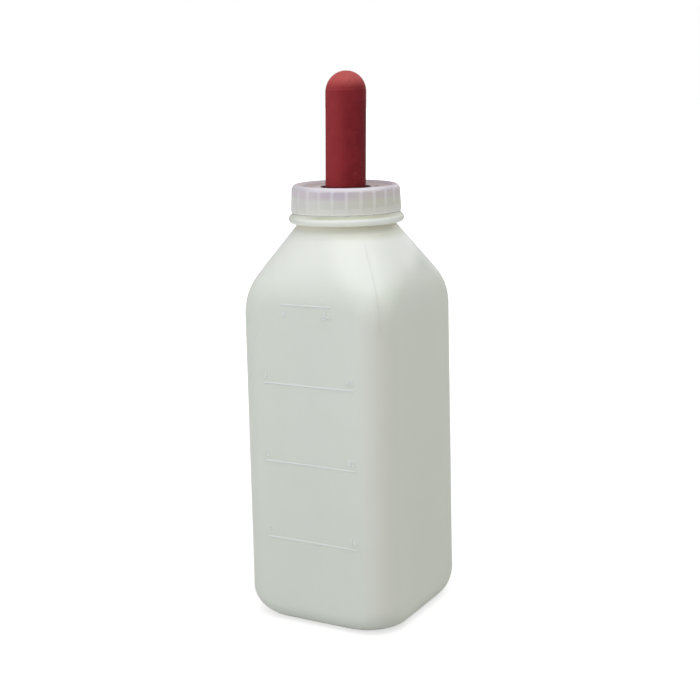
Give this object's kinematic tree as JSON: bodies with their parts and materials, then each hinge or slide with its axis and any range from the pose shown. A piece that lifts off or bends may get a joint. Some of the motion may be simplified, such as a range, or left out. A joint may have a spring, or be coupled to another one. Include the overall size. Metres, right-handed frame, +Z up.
{
  "type": "livestock nursing bottle",
  "caption": "Square hollow bottle with a rounded shoulder, a beaded screw neck, a ribbed screw cap and a soft rubber nipple for feeding young livestock.",
  "frame": {"origin": "centre of the base, level with the standing ring that the bottle rests on", "axes": "+Z up along the bottle's axis to the nipple's tip; -Y is the graduated wall, and the other walls face +X, +Y and -X"},
  "size_m": [0.1038, 0.1038, 0.3349],
  "materials": {
    "bottle_plastic": "satin, slightly translucent blow-moulded polyethylene",
    "cap_plastic": "satin, slightly translucent moulded plastic",
    "nipple_rubber": "matt rubber"
  },
  "bodies": {
    "bottle": {"bottle": "bottle_plastic"},
    "nipple": {"nipple": "nipple_rubber"},
    "cap": {"cap": "cap_plastic"}
  },
  "joints": [
    {"name": "nipple_lift", "type": "slide", "parent": "bottle", "child": "nipple", "axis": [0, 0, 1], "range_m": [0, 0.01694]},
    {"name": "cap_turn", "type": "hinge", "parent": "nipple", "child": "cap", "pos_m": [0, 0, 0.25125], "axis": [0, 0, 1], "range_deg": [0, 1440]}
  ],
  "couplings": [
    {"joint": "nipple_lift", "follows": "cap_turn", "m_per_rad": 0.00067375}
  ]
}
